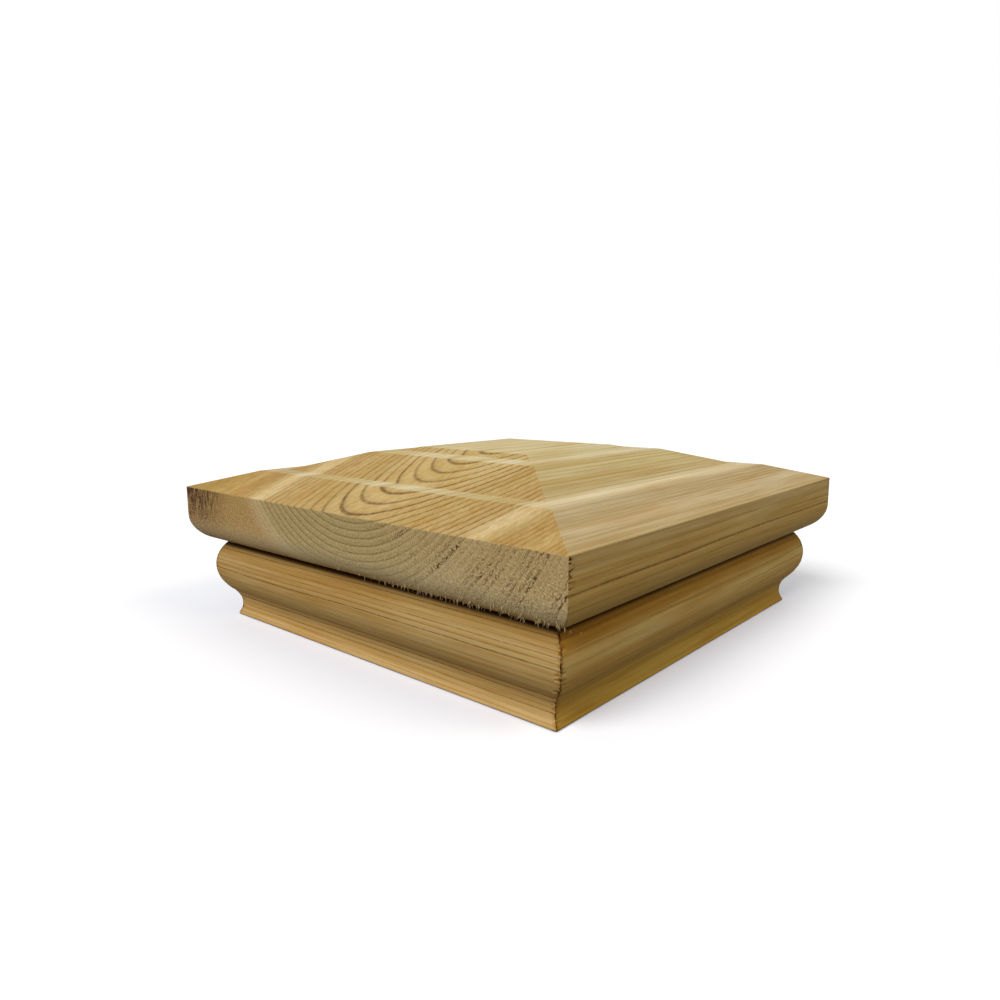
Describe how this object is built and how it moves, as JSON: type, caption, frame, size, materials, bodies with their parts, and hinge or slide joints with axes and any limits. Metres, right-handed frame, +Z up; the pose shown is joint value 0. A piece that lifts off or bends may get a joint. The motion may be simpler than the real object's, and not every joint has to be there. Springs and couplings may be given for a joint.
{
  "type": "flat top post cap",
  "caption": "Square wooden cap that slips over the top of a post: a stepped, gently sloped board on a mitred frame of ovolo and cove moulding",
  "frame": {"origin": "Middle of the cap's bottom, in the plane of the mouldings' lower faces", "axes": "+Z up through the middle of the flat top; the board's grain runs along X and its end grain faces -X and +X"},
  "size_m": [0.146, 0.146, 0.0532],
  "materials": {
    "board_wood": "bare planed softwood, end grain on two edges",
    "moulding_wood": "bare moulded softwood, grain along each strip",
    "brad_steel": "zinc plated wire"
  },
  "bodies": {
    "root": {"cap_board": "board_wood", "moulding_front": "moulding_wood", "moulding_right": "moulding_wood", "moulding_back": "moulding_wood", "moulding_left": "moulding_wood", "brads": "brad_steel"}
  },
  "joints": []
}
